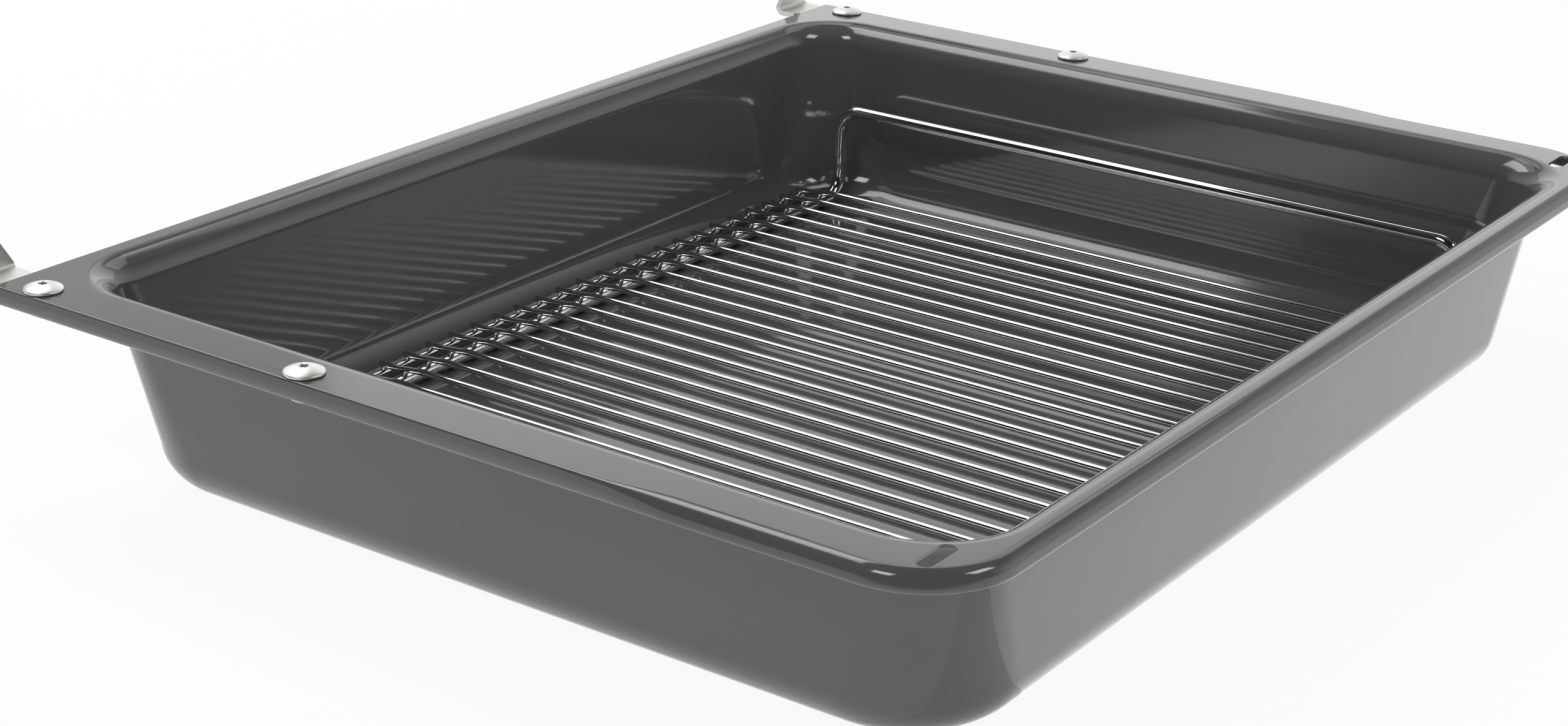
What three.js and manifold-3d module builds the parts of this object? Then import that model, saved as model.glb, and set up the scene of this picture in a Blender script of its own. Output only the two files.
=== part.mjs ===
// Deep enamelled oven roasting pan with two hanging hooks and a lift-out wire rack.
// Millimetres, +Z up. The origin is on the underside of the floor, in the middle of the pan.
// +X runs along the pan's width and +Y points to the side that carries the hooks.
import * as THREE from 'three';
import { mergeVertices } from 'three/addons/utils/BufferGeometryUtils.js';
import Module from 'manifold-3d';

// Driving dimensions of the pan
const panWidth = 455;
const panDepth = 353.5;
const panHeight = 70.5;
const sheet = 1;
const sideRim = 16;
const endRim = 6;
const rimBend = 9.7;
const floorBend = 15;
const wallDraft = THREE.MathUtils.degToRad(4.3);
const lipHeight = 7;
const lipThickness = 2.6;
const lipEdgeRadius = 0.9;
const frontCornerRadius = 30;
const hookCornerRadius = 2.4;
const frontOpeningRadius = 32;
const hookOpeningRadius = 30;
const floorCornerRadius = 36;
const slotLength = 15.6;
const slotWidth = 5.4;
const slotFromSide = 16.4;
const slotFromFront = 16.6;

// Driving dimensions of the hook brackets and their screws
const bracketThickness = 2;
const bracketLipGap = 0.4;
const bracketTail = 12;
const hookReach = 12.75;
const hookRise = 10.5;
const hookBend = 1.5;
const hookWidth = 18.6;
const hookTipRadius = 5;
const screwFromHookSide = 16.1;
const screwSpacing = 111;
const screwHeadDiameter = 12.5;
const screwHeadHeight = 2.4;
const screwHeadEdge = 0.7;
const screwShankDiameter = 5;
const screwTail = 1;
const driveDiameter = 3.2;
const driveLobes = 6;
const driveLobeDepth = 0.5;
const driveDepth = 1.3;
const nutAcrossFlats = 8;
const nutThickness = 4;

// Driving dimensions of the rack; the opening is the inner edge of the pan's flat rim
const crossWireCount = 29;
const crossWireDiameter = 2.4;
const wireTipFromOpening = 21.75;
const outerWireFromBar = 14.02;
const wireTipRun = 7;
const wireDropRun = 12;
const wireDrop = 1.3;
const carrierDiameter = 3;
const carrierFromTip = 2;
const frameWireDiameter = 5;
const frameBend = 10;
const frameFromTip = 12;
const barFromOpening = 28.5;
const handleHeight = 41;

// Clearances
const seatGap = 0.3;
const weldGap = 0.3;
const floorGap = 0.3;
const holeClearance = 0.3;
const notchClearance = 0.6;
const nutLipClearance = 0.6;
const leastCornerRadius = 0.3;
const mergeTolerance = 1e-4;

// Facet counts
const cornerSteps = 8;
const bendSteps = 6;
const edgeSteps = 3;
const thinWireSides = 8;
const frameWireSides = 12;
const screwSides = 24;

const halfWidth = panWidth / 2;
const halfDepth = panDepth / 2;
const wasm = await Module();
wasm.setup();

// Dark vitreous enamel, rolled strip steel, turned bright steel and chromium plate
const enamel = new THREE.MeshStandardMaterial({ color: 0x4a4b4c, roughness: 0.22, metalness: 0.1 });
const stripSteel = new THREE.MeshStandardMaterial({ color: 0xb0b0ad, roughness: 0.38, metalness: 0.9 });
const brightSteel = new THREE.MeshStandardMaterial({ color: 0xb9b9b6, roughness: 0.3, metalness: 0.9 });
const chromePlate = new THREE.MeshStandardMaterial({ color: 0xc9cacb, roughness: 0.12, metalness: 1 });

// The pan stands still and the rack lifts out of it, so each has its own group.
const pan = new THREE.Group();
const rack = new THREE.Group();
const object = new THREE.Group();
object.add(pan, rack);

function addPiece(group, name, geometry, material) {
  const piece = new THREE.Mesh(geometry, material);
  piece.name = name;
  group.add(piece);
  return piece;
}

function toSolid(geometry) {
  const plain = geometry.clone();
  plain.deleteAttribute('normal');
  plain.deleteAttribute('uv');
  const merged = mergeVertices(plain, mergeTolerance);
  return new wasm.Manifold(new wasm.Mesh({
    numProp: 3,
    vertProperties: new Float32Array(merged.attributes.position.array),
    triVerts: new Uint32Array(merged.index.array),
  }));
}

function toGeometry(solid) {
  const mesh = solid.getMesh();
  const geometry = new THREE.BufferGeometry();
  geometry.setAttribute('position', new THREE.BufferAttribute(mesh.vertProperties, 3));
  geometry.setIndex(new THREE.BufferAttribute(mesh.triVerts, 1));
  geometry.computeVertexNormals();
  return geometry;
}

// A closed skin over a stack of rings that all have the same number of points.
// The first and last rings are closed by a fan from their own middle.
function skinRings(rings) {
  const size = rings[0].length;
  const positions = rings.flat().flatMap((p) => [p.x, p.y, p.z]);
  const index = [];
  for (let r = 0; r < rings.length - 1; r += 1) {
    for (let i = 0; i < size; i += 1) {
      const a = r * size + i;
      const b = r * size + ((i + 1) % size);
      index.push(a, b, b + size, a, b + size, a + size);
    }
  }
  const caps = [
    [rings[0], 0, true],
    [rings.at(-1), (rings.length - 1) * size, false],
  ];
  for (const [ring, start, turned] of caps) {
    const middle = ring.reduce((sum, p) => sum.add(p), new THREE.Vector3()).divideScalar(size);
    const centre = positions.length / 3;
    positions.push(middle.x, middle.y, middle.z);
    for (let i = 0; i < size; i += 1) {
      const a = start + i;
      const b = start + ((i + 1) % size);
      index.push(...(turned ? [a, centre, b] : [a, b, centre]));
    }
  }
  const geometry = new THREE.BufferGeometry();
  geometry.setAttribute('position', new THREE.Float32BufferAttribute(positions, 3));
  geometry.setIndex(index);
  geometry.computeVertexNormals();
  return geometry;
}

// A round wire through a list of points that sets off level, with its ends cut square.
function bentWire(points, diameter, facets) {
  const side = new THREE.Vector3(0, 0, 1);
  const rings = points.map((point, i) => {
    const before = points[Math.max(i - 1, 0)];
    const after = points[Math.min(i + 1, points.length - 1)];
    const incoming = point.clone().sub(before).normalize();
    const outgoing = after.clone().sub(point).normalize();
    const along = incoming.clone().add(outgoing).normalize();
    side.addScaledVector(along, -side.dot(along)).normalize();
    const other = along.clone().cross(side);
    return Array.from({ length: facets }, (_, k) => {
      const angle = (2 * Math.PI * k) / facets;
      return point.clone()
        .addScaledVector(side, (Math.cos(angle) * diameter) / 2)
        .addScaledVector(other, (Math.sin(angle) * diameter) / 2);
    });
  });
  return skinRings(rings);
}

// One closed loop round the pan at height z: a rectangle with round corners, set in from the outline.
function panLoop(sideInset, endInset, frontRadius, hookRadius, z) {
  const x = halfWidth - sideInset;
  const y = halfDepth - endInset;
  const corners = [
    [x - frontRadius, -y + frontRadius, frontRadius, -Math.PI / 2],
    [x - hookRadius, y - hookRadius, hookRadius, 0],
    [-x + hookRadius, y - hookRadius, hookRadius, Math.PI / 2],
    [-x + frontRadius, -y + frontRadius, frontRadius, Math.PI],
  ];
  return corners.flatMap(([cx, cy, radius, start]) => Array.from({ length: cornerSteps + 1 }, (_, k) => {
    const angle = start + (Math.PI / 2) * (k / cornerSteps);
    return new THREE.Vector3(cx + radius * Math.cos(angle), cy + radius * Math.sin(angle), z);
  }));
}

// Pan shell: one deep-drawn sheet with a flat rim, a hemmed lip, drafted walls and round bends.
function lipLoop(inset, z) {
  const hookRadius = Math.max(hookCornerRadius - inset, leastCornerRadius);
  return panLoop(inset, inset, frontCornerRadius - inset, hookRadius, z);
}

function rimLoop(fall, z) {
  return panLoop(sideRim + fall, endRim + fall, frontOpeningRadius - fall, hookOpeningRadius - fall, z);
}

function floorLoop(fall, radius, z) {
  return panLoop(sideRim + fall, endRim + fall, radius, radius, z);
}

// Loops of one face of the bowl, from the rim down to the floor; skin is the depth below the cooking face.
// The upright corners widen from the opening's radius to the floor corner radius at the foot of the wall.
function bowlFace(skin) {
  const steepest = Math.PI / 2 - wallDraft;
  const rimRadius = rimBend - skin;
  const floorRadius = floorBend + skin;
  const floorCentreZ = sheet + floorBend;
  const wallTopZ = panHeight - rimBend * (1 - Math.cos(steepest));
  const wallFootZ = floorCentreZ - floorBend * Math.cos(steepest);
  const wallRun = (wallTopZ - wallFootZ) * Math.tan(wallDraft);
  const floorCentreFall = rimBend * Math.sin(steepest) + wallRun + floorBend * Math.sin(steepest);
  const loops = [];
  for (let k = 0; k <= bendSteps; k += 1) {
    const angle = (steepest * k) / bendSteps;
    loops.push(rimLoop(rimRadius * Math.sin(angle), panHeight - rimBend + rimRadius * Math.cos(angle)));
  }
  const footFall = floorCentreFall - floorRadius * Math.sin(steepest);
  for (let k = bendSteps; k >= 0; k -= 1) {
    const angle = (steepest * k) / bendSteps;
    const fall = floorCentreFall - floorRadius * Math.sin(angle);
    const radius = floorCornerRadius + skin - (fall - footFall);
    loops.push(floorLoop(fall, radius, floorCentreZ - floorRadius * Math.cos(angle)));
  }
  return loops;
}

function lipLoops() {
  const foldRadius = lipThickness / 2;
  const loops = [lipLoop(lipThickness, panHeight - sheet)];
  for (let k = 0; k <= 2 * edgeSteps; k += 1) {
    const angle = (Math.PI * k) / (2 * edgeSteps);
    const inset = foldRadius + foldRadius * Math.cos(angle);
    loops.push(lipLoop(inset, panHeight - lipHeight + foldRadius - foldRadius * Math.sin(angle)));
  }
  for (let k = 0; k <= edgeSteps; k += 1) {
    const angle = (Math.PI / 2) * (k / edgeSteps);
    const inset = lipEdgeRadius - lipEdgeRadius * Math.cos(angle);
    loops.push(lipLoop(inset, panHeight - lipEdgeRadius + lipEdgeRadius * Math.sin(angle)));
  }
  return loops;
}

// A prism over a flat outline, standing from low to high.
function prism(outline, low, high) {
  const geometry = new THREE.ExtrudeGeometry(outline, {
    depth: high - low,
    bevelEnabled: false,
    curveSegments: cornerSteps,
  });
  geometry.translate(0, 0, low);
  return toSolid(geometry);
}

function roundHole(x, y, diameter, low, high) {
  const geometry = new THREE.CylinderGeometry(diameter / 2, diameter / 2, high - low, screwSides);
  geometry.rotateX(Math.PI / 2);
  geometry.translate(x, y, (low + high) / 2);
  return toSolid(geometry);
}

function slotOutline(x, y) {
  const straight = (slotLength - slotWidth) / 2;
  const outline = new THREE.Shape();
  outline.absarc(x + straight, y, slotWidth / 2, -Math.PI / 2, Math.PI / 2);
  outline.absarc(x - straight, y, slotWidth / 2, Math.PI / 2, (3 * Math.PI) / 2);
  return outline;
}

function rectangle(x0, y0, x1, y1) {
  return new THREE.Shape([[x0, y0], [x1, y0], [x1, y1], [x0, y1]].map(([x, y]) => new THREE.Vector2(x, y)));
}

// The bracket lies under the flat of the side rim, between the lip and the bend of the wall.
// Its nuts stand clear of the lip, which sets how far in the screws are.
const bracketOuter = halfWidth - lipThickness - bracketLipGap;
const bracketInner = halfWidth - sideRim + bracketLipGap;
const bracketMiddle = (bracketInner + bracketOuter) / 2;
const bracketTop = panHeight - sheet - seatGap;
const bracketFoot = bracketTop - bracketThickness;
const screwX = halfWidth - lipThickness - nutLipClearance - nutAcrossFlats / 2;
const screwRows = [halfDepth - screwFromHookSide, halfDepth - screwFromHookSide - screwSpacing];
const screwHole = screwShankDiameter + 2 * holeClearance;
const cutAbove = panHeight + lipHeight;
const sides = [['left', -1], ['right', 1]];

function panShell() {
  let shell = toSolid(skinRings([...bowlFace(sheet).reverse(), ...lipLoops(), ...bowlFace(0)]));
  const slotFoot = panHeight - 2 * sheet;
  for (const [, sign] of sides) {
    const slot = slotOutline(sign * (halfWidth - slotFromSide), -halfDepth + slotFromFront);
    shell = shell.subtract(prism(slot, slotFoot, cutAbove));
    for (const y of screwRows) {
      shell = shell.subtract(roundHole(sign * screwX, y, screwHole, bracketTop, cutAbove));
    }
    const notchEdges = [sign * (bracketInner - notchClearance), sign * (bracketOuter + bracketLipGap)];
    const notch = rectangle(
      Math.min(...notchEdges),
      halfDepth - lipThickness - notchClearance,
      Math.max(...notchEdges),
      halfDepth + notchClearance,
    );
    shell = shell.subtract(prism(notch, panHeight - lipHeight - notchClearance, panHeight - sheet));
  }
  return toGeometry(shell);
}

// Hook bracket: a steel strip screwed under the rim, which widens past the hook side and turns up.
const bracketTailY = screwRows[1] - bracketTail;
const hookBackY = halfDepth + hookReach;
const hookBendY = hookBackY - bracketThickness - hookBend;
const hookBendZ = bracketTop + hookBend;

function bracketSide() {
  const hookTop = panHeight + hookRise;
  const outline = new THREE.Shape();
  outline.moveTo(bracketTailY, bracketFoot);
  outline.lineTo(hookBendY, bracketFoot);
  outline.absarc(hookBendY, hookBendZ, hookBend + bracketThickness, -Math.PI / 2, 0, false);
  outline.lineTo(hookBackY, hookTop);
  outline.lineTo(hookBackY - bracketThickness, hookTop);
  outline.lineTo(hookBackY - bracketThickness, hookBendZ);
  outline.absarc(hookBendY, hookBendZ, hookBend, 0, -Math.PI / 2, true);
  outline.lineTo(bracketTailY, bracketTop);
  return outline;
}

// The bracket seen along its length: above the bend its edges lean in and run smoothly into a round tip.
function bracketFace() {
  const half = hookWidth / 2;
  const tipZ = panHeight + hookRise - hookTipRadius;
  const rise = tipZ - hookBendZ;
  const touch = Math.acos(hookTipRadius / Math.hypot(half, rise)) - Math.atan2(rise, half);
  const outline = new THREE.Shape();
  outline.moveTo(-half, bracketFoot - bracketThickness);
  outline.lineTo(half, bracketFoot - bracketThickness);
  outline.lineTo(half, hookBendZ);
  outline.absarc(0, tipZ, hookTipRadius, touch, Math.PI - touch, false);
  outline.lineTo(-half, hookBendZ);
  return outline;
}

// The bracket seen from above: narrow under the rim, and widened at 45 degrees once it is past the lip.
function bracketPlan() {
  const strip = (bracketOuter - bracketInner) / 2;
  const half = hookWidth / 2;
  const flareY = halfDepth + bracketLipGap;
  const edge = [
    [strip, bracketTailY - bracketThickness],
    [strip, flareY],
    [half, flareY + half - strip],
    [half, hookBackY + bracketThickness],
  ];
  const otherEdge = edge.map(([x, y]) => [-x, y]).reverse();
  return new THREE.Shape([...edge, ...otherEdge].map(([x, y]) => new THREE.Vector2(x, y)));
}

// The bracket is made about its own middle line, where only the screw holes tell left from right.
function hookBracket(sign) {
  const extrude = { bevelEnabled: false, curveSegments: cornerSteps };
  const side = new THREE.ExtrudeGeometry(bracketSide(), { ...extrude, depth: 2 * hookWidth });
  side.rotateX(Math.PI / 2);
  side.rotateZ(Math.PI / 2);
  side.translate(-hookWidth, 0, 0);
  const face = new THREE.ExtrudeGeometry(bracketFace(), { ...extrude, depth: 2 * panDepth });
  face.rotateX(Math.PI / 2);
  face.translate(0, panDepth, 0);
  const plan = prism(bracketPlan(), bracketFoot - bracketThickness, cutAbove + hookRise);
  let bracket = toSolid(side).intersect(toSolid(face)).intersect(plan);
  const holeX = sign * (screwX - bracketMiddle);
  for (const y of screwRows) {
    bracket = bracket.subtract(roundHole(holeX, y, screwHole, bracketFoot - sheet, bracketTop + sheet));
  }
  return toGeometry(bracket);
}

// Screw: a low domed head with a six-lobed drive, on a plain shank that ends below its nut.
const screwSeat = panHeight + seatGap;
const nutTop = bracketFoot - seatGap;
const screwEnd = nutTop - nutThickness - screwTail;

function screwSolid() {
  const headRadius = screwHeadDiameter / 2;
  const crown = screwHeadHeight - screwHeadEdge;
  const domeRadius = (headRadius ** 2 + crown ** 2) / (2 * crown);
  const domeCentre = screwSeat + screwHeadHeight - domeRadius;
  const profile = [
    [0, screwEnd],
    [screwShankDiameter / 2, screwEnd],
    [screwShankDiameter / 2, screwSeat],
    [headRadius, screwSeat],
  ];
  for (let k = 0; k <= edgeSteps; k += 1) {
    const radius = headRadius * (1 - k / edgeSteps);
    profile.push([radius, domeCentre + Math.sqrt(domeRadius ** 2 - radius ** 2)]);
  }
  const turned = new THREE.LatheGeometry(profile.map(([r, z]) => new THREE.Vector2(r, z)), screwSides);
  turned.rotateX(Math.PI / 2);
  const lobes = Array.from({ length: screwSides }, (_, k) => {
    const angle = (2 * Math.PI * k) / screwSides;
    const radius = driveDiameter / 2 - (driveLobeDepth * (1 - Math.cos(driveLobes * angle))) / 2;
    return new THREE.Vector2(radius * Math.cos(angle), radius * Math.sin(angle));
  });
  const headTop = screwSeat + screwHeadHeight;
  const drive = prism(new THREE.Shape(lobes), headTop - driveDepth, headTop + driveDepth);
  return toSolid(turned).subtract(drive);
}

// Nut: a plain hexagon nut with two flats facing the lip.
function nutSolid() {
  const corner = nutAcrossFlats / Math.sqrt(3);
  const hexagon = new THREE.Shape(Array.from({ length: 6 }, (_, k) => {
    const angle = (Math.PI / 3) * (k + 0.5);
    return new THREE.Vector2(corner * Math.cos(angle), corner * Math.sin(angle));
  }));
  const blank = prism(hexagon, nutTop - nutThickness, nutTop);
  return blank.subtract(roundHole(0, 0, screwHole, nutTop - 2 * nutThickness, nutTop + nutThickness));
}

function addFasteners() {
  const screw = toGeometry(screwSolid());
  const nut = toGeometry(nutSolid());
  for (const [side, sign] of sides) {
    screwRows.forEach((y, row) => {
      const place = row === 0 ? 'rear' : 'middle';
      addPiece(pan, `screw_${side}_${place}`, screw, brightSteel).position.set(sign * screwX, y, 0);
      addPiece(pan, `nut_${side}_${place}`, nut, brightSteel).position.set(sign * screwX, y, 0);
    });
  }
}

// Rack frame: a thick wire that runs under the cross wires, rises at both ends and forms a handle bar.
const frameZ = sheet + floorGap + frameWireDiameter / 2;
const handleX = halfWidth - sideRim - barFromOpening;
const wireTipY = halfDepth - endRim - wireTipFromOpening;
const frameY = wireTipY - frameFromTip;
const crossWirePitch = (2 * (handleX - outerWireFromBar)) / (crossWireCount - 1);
const dropEndY = wireTipY - wireTipRun;
const dropStartY = dropEndY - wireDropRun;
const dropAtFrame = wireDrop * THREE.MathUtils.clamp((frameY - dropStartY) / wireDropRun, 0, 1);
const crossWireSlope = Math.hypot(wireDropRun, wireDrop) / wireDropRun;
const wireAboveFrame = frameWireDiameter / 2 + weldGap + (crossWireDiameter / 2) * crossWireSlope;
const crossWireZ = frameZ + wireAboveFrame + dropAtFrame;
const wireTipZ = crossWireZ - wireDrop;

function bend(corner, from, to) {
  const back = from.clone().sub(corner).normalize();
  const ahead = to.clone().sub(corner).normalize();
  const centre = corner.clone().addScaledVector(back, frameBend).addScaledVector(ahead, frameBend);
  return Array.from({ length: bendSteps + 1 }, (_, k) => {
    const angle = (Math.PI / 2) * (k / bendSteps);
    return centre.clone()
      .addScaledVector(ahead, -frameBend * Math.cos(angle))
      .addScaledVector(back, -frameBend * Math.sin(angle));
  });
}

function frameHalf(sign) {
  const x = sign * handleX;
  const joint = (sign * weldGap) / 2;
  const corners = [
    new THREE.Vector3(joint, frameY, frameZ),
    new THREE.Vector3(x, frameY, frameZ),
    new THREE.Vector3(x, frameY, handleHeight),
    new THREE.Vector3(x, -frameY, handleHeight),
    new THREE.Vector3(x, -frameY, frameZ),
    new THREE.Vector3(joint, -frameY, frameZ),
  ];
  const bends = corners.slice(1, -1).flatMap((corner, i) => bend(corner, corners[i], corners[i + 2]));
  return bentWire([corners[0], ...bends, corners.at(-1)], frameWireDiameter, frameWireSides);
}

// Cross wire: level over the rack, with both ends set down onto the carrier wires.
function crossWire() {
  const path = [
    [-wireTipY, wireTipZ],
    [-dropEndY, wireTipZ],
    [-dropStartY, crossWireZ],
    [dropStartY, crossWireZ],
    [dropEndY, wireTipZ],
    [wireTipY, wireTipZ],
  ];
  return bentWire(path.map(([y, z]) => new THREE.Vector3(0, y, z)), crossWireDiameter, thinWireSides);
}

function carrierWire() {
  const reach = ((crossWireCount - 1) * crossWirePitch + crossWireDiameter) / 2;
  const ends = [new THREE.Vector3(-reach, 0, 0), new THREE.Vector3(reach, 0, 0)];
  return bentWire(ends, carrierDiameter, thinWireSides);
}

function addRack() {
  for (const [side, sign] of sides) {
    addPiece(rack, `rack_frame_${side}`, frameHalf(sign), chromePlate);
  }
  const carrierY = wireTipY - carrierFromTip;
  const carrierZ = wireTipZ - crossWireDiameter / 2 - weldGap - carrierDiameter / 2;
  const carrier = carrierWire();
  addPiece(rack, 'rack_carrier_front', carrier, chromePlate).position.set(0, -carrierY, carrierZ);
  addPiece(rack, 'rack_carrier_rear', carrier, chromePlate).position.set(0, carrierY, carrierZ);
  const wire = crossWire();
  for (let i = 0; i < crossWireCount; i += 1) {
    const x = (i - (crossWireCount - 1) / 2) * crossWirePitch;
    const number = String(i + 1).padStart(2, '0');
    addPiece(rack, `rack_wire_${number}`, wire, chromePlate).position.x = x;
  }
}

addPiece(pan, 'pan_shell', panShell(), enamel);
for (const [side, sign] of sides) {
  addPiece(pan, `hook_bracket_${side}`, hookBracket(sign), stripSteel).position.x = sign * bracketMiddle;
}
addFasteners();
addRack();

export default object;
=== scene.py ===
"""A deep enamelled roasting pan with two hanging hooks and a lift-out chromed wire rack."""
import math

import bmesh
import bpy
from mathutils import Matrix, Vector


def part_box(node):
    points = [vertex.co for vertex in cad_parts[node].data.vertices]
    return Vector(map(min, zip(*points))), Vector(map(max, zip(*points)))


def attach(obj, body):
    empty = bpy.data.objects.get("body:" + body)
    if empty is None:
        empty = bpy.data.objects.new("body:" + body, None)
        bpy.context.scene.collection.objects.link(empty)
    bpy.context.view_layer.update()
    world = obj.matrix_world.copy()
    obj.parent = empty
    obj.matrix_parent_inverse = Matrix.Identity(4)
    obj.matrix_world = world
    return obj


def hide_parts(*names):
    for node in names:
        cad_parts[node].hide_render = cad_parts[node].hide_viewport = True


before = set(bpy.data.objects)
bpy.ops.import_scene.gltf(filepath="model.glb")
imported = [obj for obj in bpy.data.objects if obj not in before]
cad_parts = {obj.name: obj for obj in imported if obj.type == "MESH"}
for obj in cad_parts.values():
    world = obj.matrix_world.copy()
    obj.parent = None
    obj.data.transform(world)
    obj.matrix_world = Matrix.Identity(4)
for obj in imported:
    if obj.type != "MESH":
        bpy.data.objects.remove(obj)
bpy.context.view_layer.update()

# Pan: one deep-drawn sheet of steel, with a flat rim, a hemmed lip and walls that lean out.
# It is enamelled all over after drawing, so every edge is soft and every face is glossy.
# The hem leans out downwards; its upper edge is sharp along the sides and soft round the front.
MM = 0.001
pan_low, pan_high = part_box("pan_shell")
half_width = pan_high.x
half_depth = pan_high.y
rim_top = pan_high.z
sheet = 1 * MM
side_rim = 16 * MM
end_rim = 6 * MM
rim_bend = 9.7 * MM
floor_bend = 15 * MM
wall_draft = math.radians(4.3)
front_corner = 30 * MM
hook_corner = 2.4 * MM
front_opening = 32 * MM
hook_opening = 30 * MM
floor_corner = 36 * MM
lip_height = 6.2 * MM
lip_thickness = 2.6 * MM
lip_lean = math.radians(14)
lip_edge_at_sides = 0.8 * MM
lip_edge_at_front = 4.2 * MM
lip_roll_at_sides = 2.6 * MM
lip_roll_at_front = 1.3 * MM
soft_hem_from = -88 * MM
soft_hem_to = -58 * MM
corner_steps = 20
side_steps = 16
bend_steps = 14
edge_steps = 8


def pan_loop(side_inset, end_inset, front_radius, hook_radius, z):
    """The points of one level loop round the pan, set in from its outline, with round corners."""
    x = half_width - side_inset
    y = half_depth - end_inset
    corners = [
        (x - front_radius, -y + front_radius, front_radius, -90),
        (x - hook_radius, y - hook_radius, hook_radius, 0),
        (-x + hook_radius, y - hook_radius, hook_radius, 90),
        (-x + front_radius, -y + front_radius, front_radius, 180),
    ]
    arcs = []
    for middle_x, middle_y, radius, start in corners:
        turns = [math.radians(start + 90 * k / corner_steps) for k in range(corner_steps + 1)]
        arcs.append([
            Vector((middle_x + radius * math.cos(turn), middle_y + radius * math.sin(turn), z))
            for turn in turns
        ])
    loop = []
    for arc, following in zip(arcs, arcs[1:] + arcs[:1]):
        loop += arc
        loop += [arc[-1].lerp(following[0], k / side_steps) for k in range(1, side_steps)]
    return loop


def lip_loop(section):
    """One loop of the hem; section gives a point's inset and height from the hem's form there."""
    outline = pan_loop(0, 0, front_corner, hook_corner, 0)
    inner = pan_loop(MM, MM, front_corner - MM, hook_corner - MM, 0)
    loop = []
    for outer_point, inner_point in zip(outline, inner):
        inset, z = section(*lip_form(outer_point.y))
        point = outer_point + (inner_point - outer_point) / MM * inset
        point.z = z
        loop.append(point)
    return loop


def lip_form(y):
    """The hem's upper edge radius and the height of its roll: along the sides, or round the front."""
    share = min(max((y - soft_hem_from) / (soft_hem_to - soft_hem_from), 0), 1)
    share = share * share * (3 - 2 * share)
    edge = lip_edge_at_front + (lip_edge_at_sides - lip_edge_at_front) * share
    roll = lip_roll_at_front + (lip_roll_at_sides - lip_roll_at_front) * share
    return edge, roll


def hem_loops():
    """The hem from its inner top edge, round the roll and up the leaning face to the flat of the rim."""
    fold = lip_thickness / 2
    foot = rim_top - lip_height

    def leaving(roll):
        return math.atan(roll / fold * math.tan(lip_lean))

    def rolled(part):
        def section(edge, roll):
            turn = (math.pi + leaving(roll)) * part
            return fold + fold * math.cos(turn), foot + roll - roll * math.sin(turn)
        return section

    def upper_edge(part):
        def section(edge, roll):
            face_inset = fold - fold * math.cos(leaving(roll))
            face_foot = foot + roll + roll * math.sin(leaving(roll))
            face_run = (rim_top - edge - face_foot) * math.tan(lip_lean)
            middle = face_inset + face_run + edge / math.cos(lip_lean)
            turn = lip_lean + (math.pi / 2 - lip_lean) * part
            return middle - edge * math.cos(turn), rim_top - edge + edge * math.sin(turn)
        return section

    loops = [lip_loop(lambda edge, roll: (lip_thickness, rim_top - sheet))]
    loops += [lip_loop(rolled(k / (2 * edge_steps))) for k in range(2 * edge_steps + 1)]
    loops += [lip_loop(upper_edge(k / edge_steps)) for k in range(edge_steps + 1)]
    return loops


def bowl_loops(skin):
    """One face of the bowl from the rim to the floor; skin is the depth below the cooking face."""
    steepest = math.pi / 2 - wall_draft
    rim_radius = rim_bend - skin
    floor_radius = floor_bend + skin
    floor_middle = sheet + floor_bend
    wall_top = rim_top - rim_bend * (1 - math.cos(steepest))
    wall_foot = floor_middle - floor_bend * math.cos(steepest)
    wall_run = (wall_top - wall_foot) * math.tan(wall_draft)
    reach = rim_bend * math.sin(steepest) + wall_run + floor_bend * math.sin(steepest)
    foot_fall = reach - floor_radius * math.sin(steepest)
    loops = []
    for k in range(bend_steps + 1):
        turn = steepest * k / bend_steps
        fall = rim_radius * math.sin(turn)
        z = rim_top - rim_bend + rim_radius * math.cos(turn)
        front_radius, hook_radius = front_opening - fall, hook_opening - fall
        loops.append(pan_loop(side_rim + fall, end_rim + fall, front_radius, hook_radius, z))
    for k in range(bend_steps, -1, -1):
        turn = steepest * k / bend_steps
        fall = reach - floor_radius * math.sin(turn)
        radius = floor_corner + skin - (fall - foot_fall)
        z = floor_middle - floor_radius * math.cos(turn)
        loops.append(pan_loop(side_rim + fall, end_rim + fall, radius, radius, z))
    return loops


def skin_mesh(name, rings, ring_closed=False):
    """A closed mesh over rings of equally many points, with its ends filled or joined to each other."""
    size = len(rings[0])
    points = [point for ring in rings for point in ring]
    spans = len(rings) if ring_closed else len(rings) - 1
    faces = []
    for r in range(spans):
        here = r * size
        there = (r + 1) % len(rings) * size
        faces += [
            (here + i, here + (i + 1) % size, there + (i + 1) % size, there + i) for i in range(size)
        ]
    if not ring_closed:
        faces.append(tuple(reversed(range(size))))
        faces.append(tuple(range(len(points) - size, len(points))))
    mesh = bpy.data.meshes.new(name)
    mesh.from_pydata(points, [], faces)
    return mesh


def show(mesh, name):
    """Puts a mesh into the scene as an object at the origin."""
    piece = bpy.data.objects.new(name, mesh)
    bpy.context.scene.collection.objects.link(piece)
    return piece


def as_plain_mesh(piece):
    """Turns what a piece's modifiers make into its own mesh, and removes the modifiers."""
    evaluated = piece.evaluated_get(bpy.context.evaluated_depsgraph_get())
    mesh = bpy.data.meshes.new_from_object(evaluated)
    mesh.name = piece.name
    piece.modifiers.clear()
    piece.data = mesh
    return piece


edge_segments = 3
cut_angle = math.radians(50)


def cut(piece, cutter, edge):
    """Cuts a piece with a mesh, then rounds the cut's edges."""
    tool = show(cutter, "cutter")
    boolean = piece.modifiers.new("cut", "BOOLEAN")
    boolean.object = tool
    boolean.solver = "EXACT"
    rounding = piece.modifiers.new("rounding", "BEVEL")
    rounding.width = edge
    rounding.segments = edge_segments
    rounding.limit_method = "ANGLE"
    rounding.angle_limit = cut_angle
    as_plain_mesh(piece)
    bpy.data.objects.remove(tool)


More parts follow.
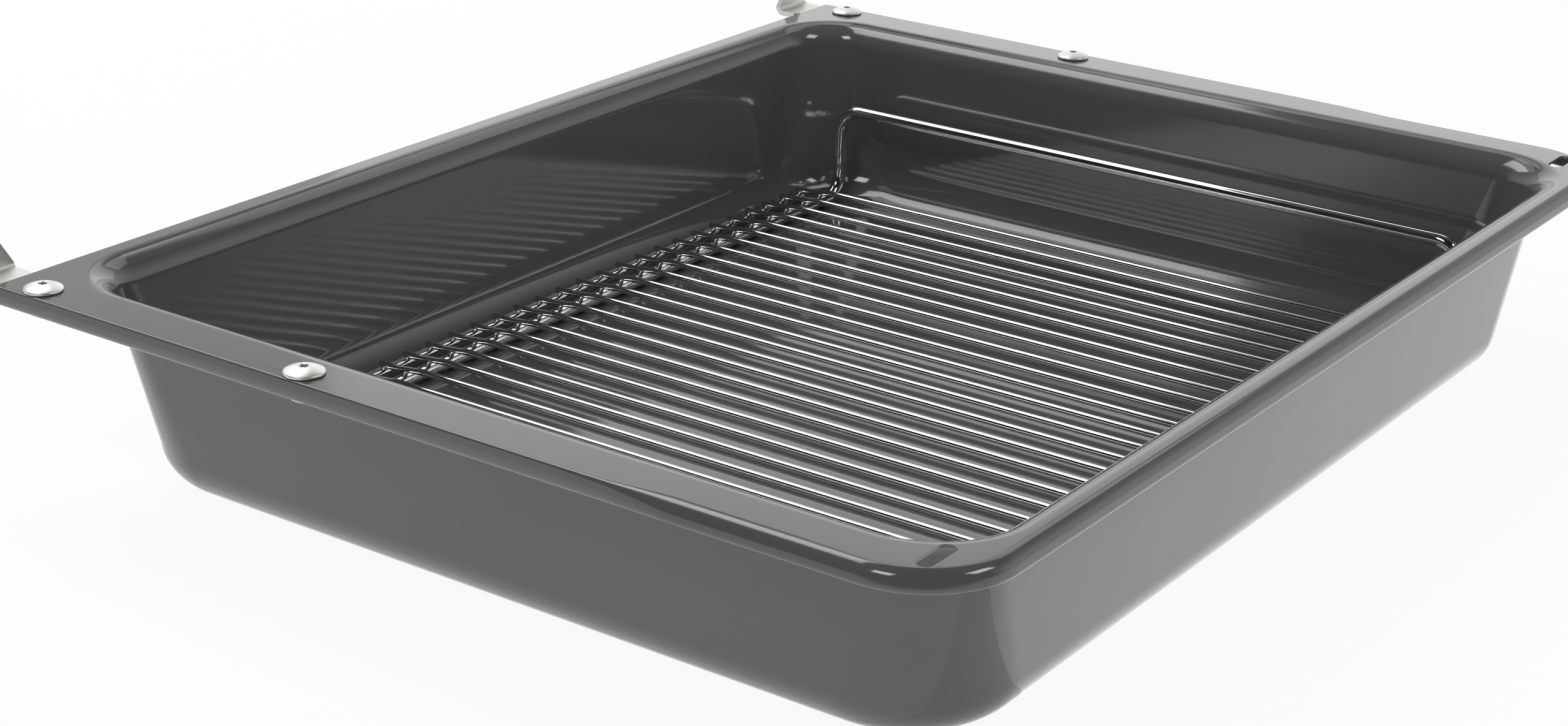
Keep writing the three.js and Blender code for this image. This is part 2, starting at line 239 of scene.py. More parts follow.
def smooth(piece, angle=35):
    """Shades a piece smooth with true flats, and keeps edges sharper than the angle."""
    piece.data.shade_smooth()
    piece.data.set_sharp_from_angle(angle=math.radians(angle))
    flats = piece.modifiers.new("flats", "WEIGHTED_NORMAL")
    flats.keep_sharp = True
    as_plain_mesh(piece)


def prisms(name, outlines):
    """One mesh of upright prisms, each an outline with its lowest and highest level."""
    made = bmesh.new()
    for outline, low, high in outlines:
        rings = [[made.verts.new((x, y, z)) for x, y in outline] for z in (low, high)]
        made.faces.new(reversed(rings[0]))
        made.faces.new(rings[1])
        for i in range(len(outline)):
            j = (i + 1) % len(outline)
            made.faces.new((rings[0][i], rings[0][j], rings[1][j], rings[1][i]))
    mesh = bpy.data.meshes.new(name)
    made.to_mesh(mesh)
    made.free()
    return mesh


def circle(x, y, radius, steps=32):
    """The points of a level circle."""
    turns = [2 * math.pi * k / steps for k in range(steps)]
    return [(x + radius * math.cos(turn), y + radius * math.sin(turn)) for turn in turns]


def stadium(x, y, length, width, steps=12):
    """The points of a slot with round ends, along X."""
    half = (length - width) / 2
    points = []
    for sign, start in ((1, -90), (-1, 90)):
        turns = [math.radians(start + 180 * k / steps) for k in range(steps + 1)]
        points += [(x + sign * half + width / 2 * math.cos(t), y + width / 2 * math.sin(t)) for t in turns]
    return points


def node_middle(node):
    """The middle of a CAD node's box."""
    low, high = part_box(node)
    return (low + high) / 2


screw_names = [f"screw_{side}_{place}" for side in ("left", "right") for place in ("rear", "middle")]
slot_length = 15.6 * MM
slot_width = 5.4 * MM
slot_from_side = 16.4 * MM
slot_from_front = 16.6 * MM
screw_hole = 5.6 * MM
strip_gap = 0.4 * MM
strip_outer = half_width - lip_thickness - strip_gap
strip_inner = half_width - side_rim + strip_gap
notch_room = 0.6 * MM
punched_edge = 0.45 * MM
cut_above = rim_top + lip_height
cutters = []
for sign in (-1, 1):
    slot_x = sign * (half_width - slot_from_side)
    slot_y = slot_from_front - half_depth
    cutters.append((stadium(slot_x, slot_y, slot_length, slot_width), rim_top - 2 * sheet, cut_above))
    x0, x1 = sorted((sign * (strip_inner - notch_room), sign * (strip_outer + strip_gap)))
    y0, y1 = half_depth - lip_thickness - notch_room, half_depth + notch_room
    notch = [(x0, y0), (x1, y0), (x1, y1), (x0, y1)]
    cutters.append((notch, rim_top - lip_height - notch_room, rim_top - sheet))
for screw in screw_names:
    middle = node_middle(screw)
    cutters.append((circle(middle.x, middle.y, screw_hole / 2), rim_top - 2 * sheet, cut_above))

pan_rings = bowl_loops(sheet)[::-1] + hem_loops() + bowl_loops(0)
pan = show(skin_mesh("enamelled_pan", pan_rings), "enamelled_pan")
cut(pan, prisms("punches", cutters), punched_edge)
smooth(pan)


def linear(code):
    """An sRGB hex colour as linear red, green, blue and full alpha."""
    channels = [int(code[i:i + 2], 16) / 255 for i in (1, 3, 5)]
    return [c / 12.92 if c <= 0.04045 else ((c + 0.055) / 1.055) ** 2.4 for c in channels] + [1]


def add(tree, kind, inputs=None, **settings):
    """Adds a node; settings are its own properties, and inputs are values or sockets to link."""
    node = tree.nodes.new(kind)
    for name, value in settings.items():
        setattr(node, name, value)
    for name, value in (inputs or {}).items():
        if isinstance(value, bpy.types.NodeSocket):
            tree.links.new(value, node.inputs[name])
        else:
            node.inputs[name].default_value = value
    return node


def new_material(name):
    """An empty material with its shader and the Object coordinates that its patterns read."""
    material = bpy.data.materials.new(name)
    material.use_nodes = True
    tree = material.node_tree
    shader = tree.nodes["Principled BSDF"]
    place = add(tree, "ShaderNodeTexCoord").outputs["Object"]
    return material, tree, shader, place


# Vitreous enamel: fired glass on steel, smooth and mirror-bright over a dark grey body.
# Its eye-catchers are a faint orange peel, slow waves from the drawn sheet and a slight change of tone.
# The orange peel is about 3 mm from crest to crest, and the waves about 45 mm.
enamel, tree, shader, place = new_material("vitreous_enamel")
peel_per_metre = 1 / (3 * MM)
waves_per_metre = 1 / (45 * MM)
tone = add(tree, "ShaderNodeTexNoise", {"Vector": place, "Scale": waves_per_metre, "Detail": 3})
ramp = add(tree, "ShaderNodeValToRGB", {"Fac": tone.outputs["Fac"]})
ramp.color_ramp.elements[0].color = linear("#4B4C4B")
ramp.color_ramp.elements[1].color = linear("#525352")
gloss = add(tree, "ShaderNodeMapRange", {
    "Value": tone.outputs["Fac"], "To Min": 0.06, "To Max": 0.12,
})
peel = add(tree, "ShaderNodeTexNoise", {"Vector": place, "Scale": peel_per_metre, "Detail": 1})
peel_bump = add(tree, "ShaderNodeBump", {
    "Height": peel.outputs["Fac"], "Strength": 0.05, "Distance": 0.02 * MM,
})
wave_bump = add(tree, "ShaderNodeBump", {
    "Height": tone.outputs["Fac"], "Strength": 0.2, "Distance": 0.3 * MM,
    "Normal": peel_bump.outputs["Normal"],
})
tree.links.new(ramp.outputs["Color"], shader.inputs["Base Color"])
tree.links.new(gloss.outputs["Result"], shader.inputs["Roughness"])
tree.links.new(wave_bump.outputs["Normal"], shader.inputs["Normal"])
shader.inputs["IOR"].default_value = 1.58
pan.data.materials.clear()
pan.data.materials.append(enamel)
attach(pan, "pan")
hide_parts("pan_shell")

# Hook brackets: two steel strips screwed flat under the side rims.
# Each leaves the pan through a notch in the hem, widens and turns up into a tapered tongue.
# They are cut flat from rolled strip, punched, deburred and then bent, and they stay bare.
hook_bend = 1.5 * MM
hook_tip = 5 * MM
seat_gap = 0.3 * MM
bracket_edge = 0.35 * MM
hook_steps = 12
tip_steps = 10
merge_distance = 0.001 * MM
strip_top = rim_top - sheet - seat_gap

strip_steel, tree, shader, place = new_material("rolled_strip_steel")
grain_per_metre = 1 / (0.5 * MM)
along_strip = add(tree, "ShaderNodeMapping", {"Vector": place, "Scale": (1, 0.04, 1)})
grain = add(tree, "ShaderNodeTexNoise", {
    "Vector": along_strip.outputs["Vector"], "Scale": grain_per_metre, "Detail": 2,
})
tint = add(tree, "ShaderNodeValToRGB", {"Fac": grain.outputs["Fac"]})
tint.color_ramp.elements[0].color = linear("#CFCECB")
tint.color_ramp.elements[1].color = linear("#DEDDDA")
satin = add(tree, "ShaderNodeMapRange", {
    "Value": grain.outputs["Fac"], "To Min": 0.4, "To Max": 0.52,
})
grain_bump = add(tree, "ShaderNodeBump", {
    "Height": grain.outputs["Fac"], "Strength": 0.15, "Distance": 0.02 * MM,
})
tree.links.new(tint.outputs["Color"], shader.inputs["Base Color"])
tree.links.new(satin.outputs["Result"], shader.inputs["Roughness"])
tree.links.new(grain_bump.outputs["Normal"], shader.inputs["Normal"])
shader.inputs["Metallic"].default_value = 1


def flat_bracket(name, thickness, strip, half, flare, flat, arc, rise):
    """The bracket before it is bent: half widths along its length, from its tail to its round tip."""
    touch = math.acos(hook_tip / math.hypot(half, rise)) - math.atan2(rise, half)
    stations = [(0, strip), (flare, strip), (flare + half - strip, half)]
    stations += [(flat + arc * k / hook_steps, half) for k in range(hook_steps + 1)]
    for k in range(tip_steps + 1):
        turn = touch + (math.pi / 2 - touch) * k / tip_steps
        stations.append((flat + arc + rise + hook_tip * math.sin(turn), hook_tip * math.cos(turn)))
    rings = [
        [Vector((x, s, z)) for x, z in ((-wide, -thickness), (wide, -thickness), (wide, 0), (-wide, 0))]
        for s, wide in stations
    ]
    mesh = skin_mesh(name, rings)
    merged = bmesh.new()
    merged.from_mesh(mesh)
    bmesh.ops.remove_doubles(merged, verts=merged.verts, dist=merge_distance)
    bmesh.ops.dissolve_degenerate(merged, edges=merged.edges, dist=merge_distance)
    merged.to_mesh(mesh)
    merged.free()
    return mesh


for sign, side in ((-1, "left"), (1, "right")):
    node = f"hook_bracket_{side}"
    low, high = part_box(node)
    strip_middle = sign * (strip_inner + strip_outer) / 2
    thickness = strip_top - low.z
    bend_y = high.y - thickness - hook_bend
    bend_z = strip_top + hook_bend
    bend_arc = (hook_bend + thickness / 2) * math.pi / 2
    bend_end = bend_y - low.y + bend_arc
    bracket = show(flat_bracket(
        node, thickness, (strip_outer - strip_inner) / 2, (high.x - low.x) / 2,
        half_depth + strip_gap - low.y, bend_y - low.y, bend_arc, high.z - hook_tip - bend_z,
    ), f"steel_{node}")
    holes = []
    for screw in screw_names:
        if side in screw:
            middle = node_middle(screw)
            hole = circle(middle.x - strip_middle, middle.y - low.y, screw_hole / 2)
            holes.append((hole, -2 * thickness, thickness))
    cut(bracket, prisms("holes", holes), bracket_edge)
    for vertex in bracket.data.vertices:
        x, along, level = vertex.co
        turn = min(max((along - bend_end + bend_arc) / bend_arc, 0), 1) * math.pi / 2
        before = min(along, bend_y - low.y)
        after = max(along - bend_end, 0)
        vertex.co = (
            strip_middle + x,
            low.y + before + (hook_bend - level) * math.sin(turn),
            bend_z - (hook_bend - level) * math.cos(turn) + after,
        )
    smooth(bracket)
    bracket.data.materials.clear()
    bracket.data.materials.append(strip_steel)
    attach(bracket, "pan")
    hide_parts(node)

# Screws: low domed heads with a six-lobed drive, turned from bright steel.
# They pass through the rim and the bracket, and each nut is drawn up from below.
# The head is lightly brushed in rings, which follow the distance from its own axis.
ring_steps = 72
head_low, head_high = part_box("screw_left_rear")
head_diameter = head_high.x - head_low.x
shank_diameter = 5 * MM
head_height = 2.4 * MM
head_edge = 0.7 * MM
drive_diameter = 3.2 * MM
drive_lobes = 6
drive_lobe_depth = 0.5 * MM
drive_depth = 2 * MM
small_edge = 0.15 * MM


def round_ring(radius, z):
    """A level ring about the Z axis; radius is one number, or a function of the angle."""
    turns = [2 * math.pi * k / ring_steps for k in range(ring_steps)]
    radii = [radius(turn) if callable(radius) else radius for turn in turns]
    return [Vector((r * math.cos(turn), r * math.sin(turn), z)) for r, turn in zip(radii, turns)]


def star(turn):
    """The drive's outline: six shallow lobes."""
    return drive_diameter / 2 - drive_lobe_depth * (1 - math.cos(drive_lobes * turn)) / 2


head_radius = head_diameter / 2
head_seat = head_high.z - head_height
crown = head_height - head_edge
dome_radius = (head_radius ** 2 + crown ** 2) / (2 * crown)
dome_middle = head_high.z - dome_radius


def dome(radius):
    """The height of the domed head at a distance from its axis."""
    return dome_middle + math.sqrt(dome_radius ** 2 - radius ** 2)


rings = [
    round_ring(shank_diameter / 2 - 2 * small_edge, head_low.z),
    round_ring(shank_diameter / 2, head_low.z + 2 * small_edge),
    round_ring(shank_diameter / 2, head_seat),
    round_ring(head_radius - small_edge, head_seat),
    round_ring(head_radius, head_seat + small_edge),
    round_ring(head_radius, dome(head_radius) - small_edge),
]
dome_rings = 10
rim_of_drive = drive_diameter / 2 + small_edge
for k in range(dome_rings + 1):
    radius = head_radius - small_edge - (head_radius - small_edge - rim_of_drive) * k / dome_rings
    rings.append(round_ring(radius, dome(radius)))
rings += [
    round_ring(star, dome(drive_diameter / 2) - small_edge),
    round_ring(star, head_high.z - drive_depth),
]
screw_mesh = skin_mesh("domed_screw", rings)

turned_steel, tree, shader, place = new_material("turned_bright_steel")
ring_pitch = 0.35 * MM
from_axis = add(tree, "ShaderNodeAttribute", attribute_name="from_axis")
phase = add(tree, "ShaderNodeMath", {
    0: from_axis.outputs["Fac"], 1: 2 * math.pi / ring_pitch,
}, operation="MULTIPLY")
grooves = add(tree, "ShaderNodeMath", {0: phase.outputs[0]}, operation="SINE")
smudge = add(tree, "ShaderNodeTexNoise", {"Vector": place, "Scale": 1 / (4 * MM), "Detail": 2})
brightness = add(tree, "ShaderNodeValToRGB", {"Fac": smudge.outputs["Fac"]})
brightness.color_ramp.elements[0].color = linear("#DAD9D6")
brightness.color_ramp.elements[1].color = linear("#E6E5E2")
polish = add(tree, "ShaderNodeMapRange", {
    "Value": smudge.outputs["Fac"], "To Min": 0.36, "To Max": 0.48,
})
groove_bump = add(tree, "ShaderNodeBump", {
    "Height": grooves.outputs[0], "Strength": 0.08, "Distance": 0.01 * MM,
})
tree.links.new(brightness.outputs["Color"], shader.inputs["Base Color"])
tree.links.new(polish.outputs["Result"], shader.inputs["Roughness"])
tree.links.new(groove_bump.outputs["Normal"], shader.inputs["Normal"])
shader.inputs["Metallic"].default_value = 1


def new_tree(name, sockets):
    """A Geometry Nodes tree with a geometry in and out, and named inputs for its sizes."""
    tree = bpy.data.node_groups.new(name, "GeometryNodeTree")
    tree.interface.new_socket("Geometry", in_out="OUTPUT", socket_type="NodeSocketGeometry")
    tree.interface.new_socket("Geometry", in_out="INPUT", socket_type="NodeSocketGeometry")
    for label, kind in sockets.items():
        tree.interface.new_socket(label, in_out="INPUT", socket_type=kind)
    return tree, add(tree, "NodeGroupInput").outputs


def end_tree(tree, geometry, material):
    """Ends a tree: real meshes in place of instances, and the piece's material."""
    real = add(tree, "GeometryNodeRealizeInstances", {"Geometry": geometry})
    painted = add(tree, "GeometryNodeSetMaterial", {
        "Geometry": real.outputs["Geometry"], "Material": material,
    })
    add(tree, "NodeGroupOutput", {"Geometry": painted.outputs["Geometry"]})


def grow(piece, tree, values):
    """Runs a tree on a piece with these values for its inputs, and keeps the mesh that it makes."""
    modifier = piece.modifiers.new(tree.name, "NODES")
    modifier.node_group = tree
    for item in tree.interface.items_tree:
        if item.in_out == "INPUT" and item.name in values:
            modifier[item.identifier] = values[item.name]
    return as_plain_mesh(piece)


def points_mesh(name, points, edges=()):
    """A mesh of bare points and edges for a tree to work on."""
    mesh = bpy.data.meshes.new(name)
    mesh.from_pydata(points, list(edges), [])
    return mesh


fastened, given = new_tree("fastened_copies", {
    "Fastener": "NodeSocketObject", "Most turn": "NodeSocketFloat", "Seed": "NodeSocketInt",
    "Material": "NodeSocketMaterial",
})
fastener = add(fastened, "GeometryNodeObjectInfo", {"Object": given["Fastener"]})
spot = add(fastened, "GeometryNodeInputPosition")
across = add(fastened, "ShaderNodeVectorMath", {
    0: spot.outputs["Position"], 1: (1, 1, 0),
}, operation="MULTIPLY")
radius = add(fastened, "ShaderNodeVectorMath", {0: across.outputs[0]}, operation="LENGTH")
marked = add(fastened, "GeometryNodeStoreNamedAttribute", {
    "Geometry": fastener.outputs["Geometry"], "Name": "from_axis", "Value": radius.outputs["Value"],
}, data_type="FLOAT", domain="POINT")
chance = add(fastened, "FunctionNodeRandomValue", {"Seed": given["Seed"]}, data_type="FLOAT")
turn = add(fastened, "ShaderNodeMath", {0: chance.outputs[1], 1: given["Most turn"]}, operation="MULTIPLY")
upright = add(fastened, "ShaderNodeCombineXYZ", {"Z": turn.outputs[0]})
rotation = add(fastened, "FunctionNodeEulerToRotation", {"Euler": upright.outputs["Vector"]})
copies = add(fastened, "GeometryNodeInstanceOnPoints", {
    "Points": given["Geometry"], "Instance": marked.outputs["Geometry"],
    "Rotation": rotation.outputs["Rotation"],
})
end_tree(fastened, copies.outputs["Instances"], given["Material"])

pattern = show(screw_mesh, "screw_pattern")
smooth(pattern)
places = [Vector((node_middle(s).x, node_middle(s).y, 0)) for s in screw_names]
screws = show(points_mesh("rim_screws", places), "rim_screws")
grow(screws, fastened, {
    "Fastener": pattern, "Most turn": 2 * math.pi / drive_lobes, "Seed": 4, "Material": turned_steel,
})
bpy.data.objects.remove(pattern)
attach(screws, "pan")
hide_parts(*screw_names)

# Nuts: plain hexagon nuts with chamfered corners, one on each screw, under the bracket.
# They are cold-formed from the same bright steel as the screws.
nut_names = [name.replace("screw", "nut") for name in screw_names]
nut_low, nut_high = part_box("nut_left_rear")
nut_flats = nut_high.x - nut_low.x
nut_chamfer = math.radians(30)
nut_face_share = 1.02
nut_face = nut_face_share * nut_flats / 2


def hexagon(turn):
    """The distance from the nut's axis to its flats; two of them face the hem."""
    sector = math.pi / 3
    return nut_flats / 2 / math.cos((turn + sector / 2) % sector - sector / 2)


def chamfer_ring(z, sign):
    """The ring where a nut's chamfer runs out on its flats."""
    ring = round_ring(hexagon, z)
    for point in ring:
        point.z -= sign * max(0, point.xy.length - nut_face) * math.tan(nut_chamfer)
    return ring


rings = [
    round_ring(screw_hole / 2, nut_high.z),
    round_ring(screw_hole / 2, nut_low.z),
    round_ring(lambda turn: min(hexagon(turn), nut_face), nut_low.z),
    chamfer_ring(nut_low.z, -1),
    chamfer_ring(nut_high.z, 1),
    round_ring(lambda turn: min(hexagon(turn), nut_face), nut_high.z),
]
pattern = show(skin_mesh("hexagon_nut", rings, ring_closed=True), "nut_pattern")
smooth(pattern)
nuts = show(points_mesh("rim_nuts", places), "rim_nuts")
grow(nuts, fastened, {"Fastener": pattern, "Most turn": 0.0, "Seed": 0, "Material": turned_steel})
bpy.data.objects.remove(pattern)
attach(nuts, "pan")
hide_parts(*nut_names)

# Rack frame: one thick wire bent into a loop that runs under the cross wires and stands up at both ends.
# Its two raised sides are the handle bars; the butt welds in the long runs are ground flush.
# The whole rack is welded first and then chromium plated.
chrome, tree, shader, place = new_material("chromium_plate")
haze = add(tree, "ShaderNodeTexNoise", {"Vector": place, "Scale": 1 / (12 * MM), "Detail": 3})
plate = add(tree, "ShaderNodeValToRGB", {"Fac": haze.outputs["Fac"]})
plate.color_ramp.elements[0].color = linear("#E2E4E5")
plate.color_ramp.elements[1].color = linear("#EAEBEC")
shine = add(tree, "ShaderNodeMapRange", {
    "Value": haze.outputs["Fac"], "To Min": 0.05, "To Max": 0.11,
})
tree.links.new(plate.outputs["Color"], shader.inputs["Base Color"])
tree.links.new(shine.outputs["Result"], shader.inputs["Roughness"])
shader.inputs["Metallic"].default_value = 1

wire, given = new_tree("drawn_wire", {
    "Diameter": "NodeSocketFloat", "Sides": "NodeSocketInt", "Bend": "NodeSocketFloat",
    "Bend steps": "NodeSocketInt", "Copies": "NodeSocketInt", "Pitch": "NodeSocketFloat",
    "Material": "NodeSocketMaterial",
})
path = add(wire, "GeometryNodeMeshToCurve", {"Mesh": given["Geometry"]})
bent = add(wire, "GeometryNodeFilletCurve", {
    "Curve": path.outputs["Curve"], "Radius": given["Bend"], "Count": given["Bend steps"],
    "Limit Radius": True,
}, mode="POLY")
half = add(wire, "ShaderNodeMath", {0: given["Diameter"], 1: 0.5}, operation="MULTIPLY")
section = add(wire, "GeometryNodeCurvePrimitiveCircle", {
    "Resolution": given["Sides"], "Radius": half.outputs[0],
})
drawn = add(wire, "GeometryNodeCurveToMesh", {
    "Curve": bent.outputs["Curve"], "Profile Curve": section.outputs["Curve"], "Fill Caps": True,
})
rounded = add(wire, "GeometryNodeSetShadeSmooth", {"Geometry": drawn.outputs["Mesh"]})
step = add(wire, "ShaderNodeCombineXYZ", {"X": given["Pitch"]})
row = add(wire, "GeometryNodeMeshLine", {"Count": given["Copies"], "Offset": step.outputs["Vector"]})
laid = add(wire, "GeometryNodeInstanceOnPoints", {
    "Points": row.outputs["Mesh"], "Instance": rounded.outputs["Geometry"],
})
end_tree(wire, laid.outputs["Instances"], given["Material"])

frame_names = ["rack_frame_left", "rack_frame_right"]
frame_low, frame_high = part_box("rack_frame_right")
frame_wire = 5 * MM
frame_bend = 10 * MM
frame_sides = 32
frame_bend_steps = 12
bar_x = frame_high.x - frame_wire / 2
leg_y = frame_high.y - frame_wire / 2
run_z = frame_low.z + frame_wire / 2
bar_z = frame_high.z - frame_wire / 2
loop = [
    (bar_x, leg_y, run_z), (bar_x, leg_y, bar_z), (bar_x, -leg_y, bar_z), (bar_x, -leg_y, run_z),
    (-bar_x, -leg_y, run_z), (-bar_x, -leg_y, bar_z), (-bar_x, leg_y, bar_z), (-bar_x, leg_y, run_z),
]
loop_edges = [(i, (i + 1) % len(loop)) for i in range(len(loop))]
rack_frame = show(points_mesh("rack_frame", loop, loop_edges), "rack_frame")
grow(rack_frame, wire, {
    "Diameter": frame_wire, "Sides": frame_sides, "Bend": frame_bend, "Bend steps": frame_bend_steps,
    "Copies": 1, "Pitch": 0.0, "Material": chrome,
})
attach(rack_frame, "rack")
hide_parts(*frame_names)

# Carriers: two straight steel wires under the cross wires' set-down tips, one along each long side.
# Each tip is resistance welded to its carrier, and all cut ends are tumbled round.
end_rounding = 0.5 * MM
end_angle = math.radians(60)


def soften_ends(piece):
    """Rounds the cut ends of a piece's wires."""
    rounding = piece.modifiers.new("rounding", "BEVEL")
    rounding.width = end_rounding
    rounding.segments = edge_segments
    rounding.limit_method = "ANGLE"
    rounding.angle_limit = end_angle
    as_plain_mesh(piece)


carrier_names = ["rack_carrier_front", "rack_carrier_rear"]
carrier_wire = 3 * MM
carrier_sides = 24
ends = []
for name in carrier_names:
    low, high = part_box(name)
    middle = node_middle(name)
    ends += [(low.x, middle.y, middle.z), (high.x, middle.y, middle.z)]
carriers = show(points_mesh("rack_carriers", ends, [(0, 1), (2, 3)]), "rack_carriers")
grow(carriers, wire, {
    "Diameter": carrier_wire, "Sides": carrier_sides, "Bend": 0.0, "Bend steps": 1,
    "Copies": 1, "Pitch": 0.0, "Material": chrome,
})
soften_ends(carriers)
smooth(carriers)
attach(carriers, "rack")
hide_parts(*carrier_names)

# Cross wires: thin wires side by side over the frame, level in the middle.
# Near both ends each is set down a little, so that its tips lie on the carriers.
wire_names = sorted(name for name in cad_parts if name.startswith("rack_wire_"))
cross_wire = 2.4 * MM
tip_run = 7 * MM
drop_run = 12 * MM
set_down = 1.3 * MM
set_down_bend = 30 * MM
set_down_steps = 4
cross_sides = 20
first_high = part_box(wire_names[0])[1]
first_x = node_middle(wire_names[0]).x
last_x = node_middle(wire_names[-1]).x
tip_y = first_high.y
level_z = first_high.z - cross_wire / 2
tip_z = level_z - set_down
route = []
for sign in (-1, 1):
    stations = [
        (first_x, sign * tip_y, tip_z),
        (first_x, sign * (tip_y - tip_run), tip_z),
        (first_x, sign * (tip_y - tip_run - drop_run), level_z),
    ]
    route += stations if sign < 0 else stations[::-1]
cross_wires = show(
    points_mesh("rack_cross_wires", route, [(i, i + 1) for i in range(len(route) - 1)]), "rack_cross_wires"
)
grow(cross_wires, wire, {
    "Diameter": cross_wire, "Sides": cross_sides, "Bend": set_down_bend, "Bend steps": set_down_steps,
    "Copies": len(wire_names), "Pitch": (last_x - first_x) / (len(wire_names) - 1), "Material": chrome,
})
soften_ends(cross_wires)
smooth(cross_wires)
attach(cross_wires, "rack")
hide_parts(*wire_names)

# Welds: a small round bead where each cross wire is welded to a carrier or to the frame.
# They are plated with the rest, so they only show as a soft fillet between two wires.
bead_width = 2.3 * MM
bead_height = 1.5 * MM
beads, given = new_tree("weld_beads", {
    "Width": "NodeSocketFloat", "Height": "NodeSocketFloat", "Material": "NodeSocketMaterial",
})
ball = add(beads, "GeometryNodeMeshIcoSphere", {"Radius": 0.5, "Subdivisions": 3})
size = add(beads, "ShaderNodeCombineXYZ", {"X": given["Width"], "Y": given["Width"], "Z": given["Height"]})
squeezed = add(beads, "GeometryNodeInstanceOnPoints", {
    "Points": given["Geometry"], "Instance": ball.outputs["Mesh"], "Scale": size.outputs["Vector"],
})
end_tree(beads, squeezed.outputs["Instances"], given["Material"])
spots = []
for name in wire_names:
    x = node_middle(name).x
    for carrier in carrier_names:
        spots.append((x, node_middle(carrier).y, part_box(carrier)[1].z))
    slope = (leg_y - tip_y + tip_run + drop_run) / drop_run
    under_wire = level_z - set_down * min(max(slope, 0), 1) - cross_wire / 2
    spots += [(x, leg_y, under_wire), (x, -leg_y, under_wire)]
welds = show(points_mesh("rack_welds", spots), "rack_welds")
grow(welds, beads, {"Width": bead_width, "Height": bead_height, "Material": chrome})
smooth(welds)
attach(welds, "rack")

# Floor: a plain white sweep. It shows as white to the camera and in reflections,
# and keeps a soft trace of the pan's shadow.
floor_size = 8
white_share = 0.93
floor_mesh = bpy.data.meshes.new("studio_floor")
floor_mesh.from_pydata(
    [(x * floor_size / 2, y * floor_size / 2, pan_low.z) for x, y in ((-1, -1), (1, -1), (1, 1), (-1, 1))],
    [], [(0, 1, 2, 3)],
)
floor = show(floor_mesh, "studio_floor")
paper = bpy.data.materials.new("white_paper")
paper.use_nodes = True
tree = paper.node_tree
tree.nodes.remove(tree.nodes["Principled BSDF"])
rays = add(tree, "ShaderNodeLightPath")
seen = add(tree, "ShaderNodeMath", {
    0: rays.outputs["Is Camera Ray"], 1: rays.outputs["Is Glossy Ray"],
}, operation="MAXIMUM")
seen = add(tree, "ShaderNodeMath", {
    0: seen.outputs[0], 1: rays.outputs["Is Transmission Ray"],
}, operation="MAXIMUM")
matt = add(tree, "ShaderNodeBsdfDiffuse", {"Color": linear("#E8E8E8")})
white = add(tree, "ShaderNodeEmission", {"Color": linear("#FFFFFF"), "Strength": 1.0})
share = add(tree, "ShaderNodeMath", {0: seen.outputs[0], 1: white_share}, operation="MULTIPLY")
mixed = add(tree, "ShaderNodeMixShader", {
    "Fac": share.outputs[0], 1: matt.outputs["BSDF"], 2: white.outputs["Emission"],
})
tree.links.new(mixed.outputs["Shader"], tree.nodes["Material Output"].inputs["Surface"])
floor_mesh.materials.append(paper)

# Studio light: a white room with a dim ceiling, which is dark on the photographer's side.
# The bright floor lights the outer walls, and panels and soft boxes above give the bright metal its lines.
world = bpy.data.worlds.new("studio")
bpy.context.scene.world = world
world.use_nodes = True
tree = world.node_tree
photographer = Vector((-0.84, -0.55, 0))
dark_from, dark_to = -0.1, 0.3
direction = add(tree, "ShaderNodeTexCoord").outputs["Generated"]
height = add(tree, "ShaderNodeSeparateXYZ", {"Vector": direction}).outputs["Z"]
facing = add(tree, "ShaderNodeVectorMath", {0: direction, 1: photographer}, operation="DOT_PRODUCT")
near_side = add(tree, "ShaderNodeMapRange", {
    "Value": facing.outputs["Value"], "From Min": dark_from, "From Max": dark_to,
}, interpolation_type="SMOOTHSTEP")
rays = add(tree, "ShaderNodeLightPath")
mirrored = add(tree, "ShaderNodeMath", {
    0: near_side.outputs["Result"], 1: rays.outputs["Is Glossy Ray"],
}, operation="MULTIPLY")
skies = {"far": (0.3, 0.65, "#484848"), "near": (0.0, 0.03, "#202020")}
sky = {}
for name, (white_to, dim_from, dim) in skies.items():
    ramp = add(tree, "ShaderNodeValToRGB", {"Fac": height})
    ramp.color_ramp.elements[0].position = white_to
    ramp.color_ramp.elements[0].color = linear("#FFFFFF")
    ramp.color_ramp.elements[1].position = dim_from
    ramp.color_ramp.elements[1].color = linear(dim)
    sky[name] = ramp.outputs["Color"]
room = add(tree, "ShaderNodeMix", {
    "Factor": mirrored.outputs[0], 6: sky["far"], 7: sky["near"],
}, data_type="RGBA")
tree.links.new(room.outputs[2], tree.nodes["Background"].inputs["Color"])

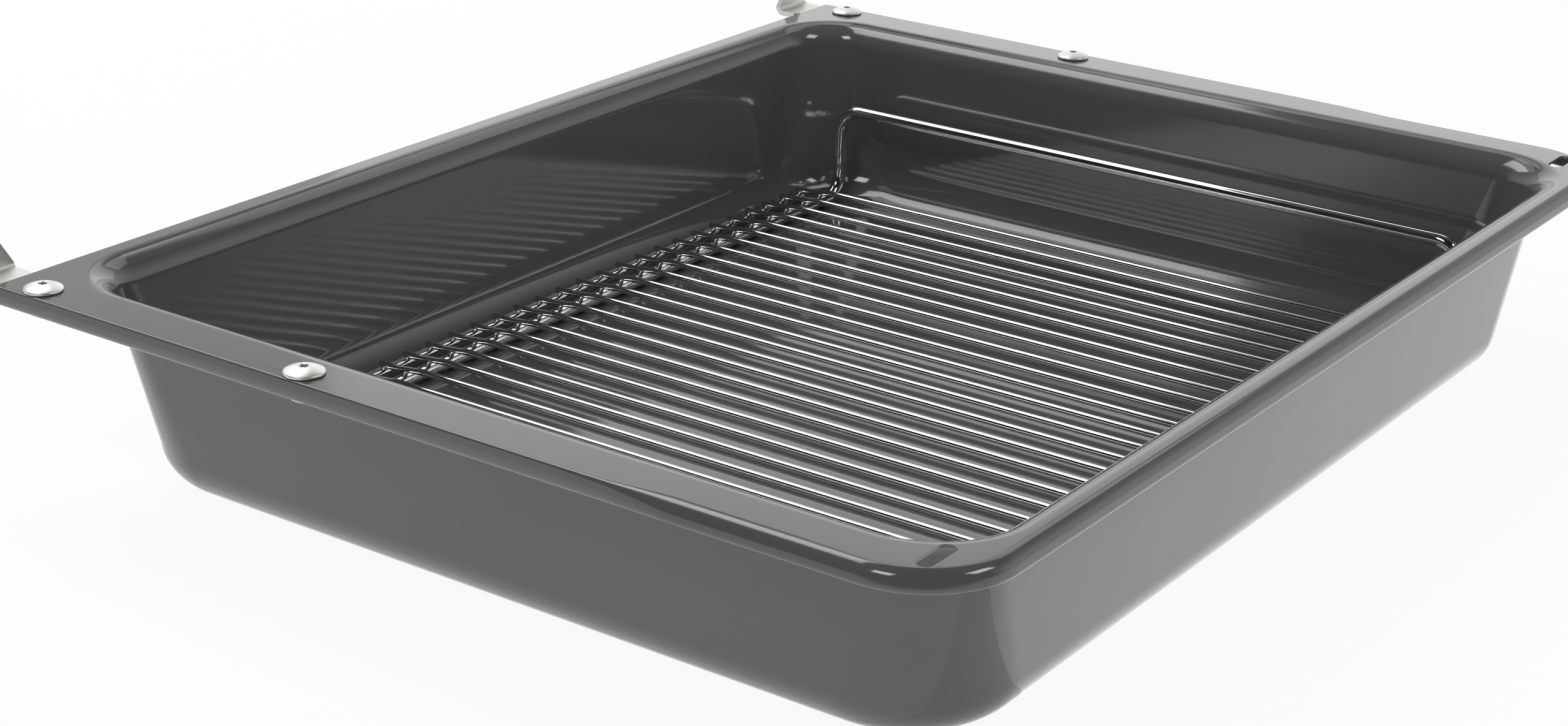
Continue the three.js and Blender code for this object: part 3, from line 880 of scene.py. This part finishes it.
# Each lamp: where it stands, where it points, its width and height in metres and its power in watts.
up = (math.pi, 0, 0)
down = (0, 0, 0)
to_pan = None
lamps = {
    "front_glow": ((0.6, -0.55, 0.002), up, 1.5, 0.8, 1.6),
    "left_glow": ((-0.595, 0.2, 0.002), up, 0.8, 1.1, 0.5),
    "wire_panel": ((0.25, 1.1, 1.35), down, 1.5, 1.1, 5.4),
    "edge_box": ((0.1, 1.1, 1.34), down, 0.8, 1.1, 11),
    "back_panel": ((1.6, 0.88, 0.78), to_pan, 1.4, 0.7, 2.1),
    "carrier_panel": ((1.0, 0.3, 1.1), to_pan, 0.9, 0.5, 1.6),
    "bend_box_left": ((-1.14, 0.1, 1.3), to_pan, 0.45, 0.45, 5),
    "bend_box_right": ((0.25, -1.14, 1.3), to_pan, 0.6, 0.45, 6),
}
for name, (spot, aim, width, depth, power) in lamps.items():
    lamp = bpy.data.lights.new(name, "AREA")
    lamp.shape = "RECTANGLE"
    lamp.size = width
    lamp.size_y = depth
    lamp.energy = power
    box = bpy.data.objects.new(name, lamp)
    box.location = spot
    box.rotation_euler = aim or (-Vector(spot)).to_track_quat("-Z", "Y").to_euler()
    box.visible_camera = False
    bpy.context.scene.collection.objects.link(box)

# Camera: where the photograph was taken from, worked out from the rim, screws, slots and wires.
camera_spot = Vector((-764.94, -499.13, 377.25)) * MM
camera_azimuth = math.radians(-55.06)
camera_elevation = math.radians(21.537)
camera_roll = math.radians(1.285)
focal_pixels = 4653.84
photo_width = 2560
lens = bpy.data.cameras.new("photo_camera")
lens.sensor_width = 36
lens.lens = focal_pixels * lens.sensor_width / photo_width
camera = bpy.data.objects.new("photo_camera", lens)
turned = Matrix.Rotation(camera_azimuth, 4, "Z")
tilted = Matrix.Rotation(math.pi / 2 - camera_elevation, 4, "X")
rolled = Matrix.Rotation(camera_roll, 4, "Z")
camera.matrix_world = Matrix.Translation(camera_spot) @ turned @ tilted @ rolled
bpy.context.scene.collection.objects.link(camera)
bpy.context.scene.camera = camera
bpy.context.scene.view_settings.view_transform = "Standard"
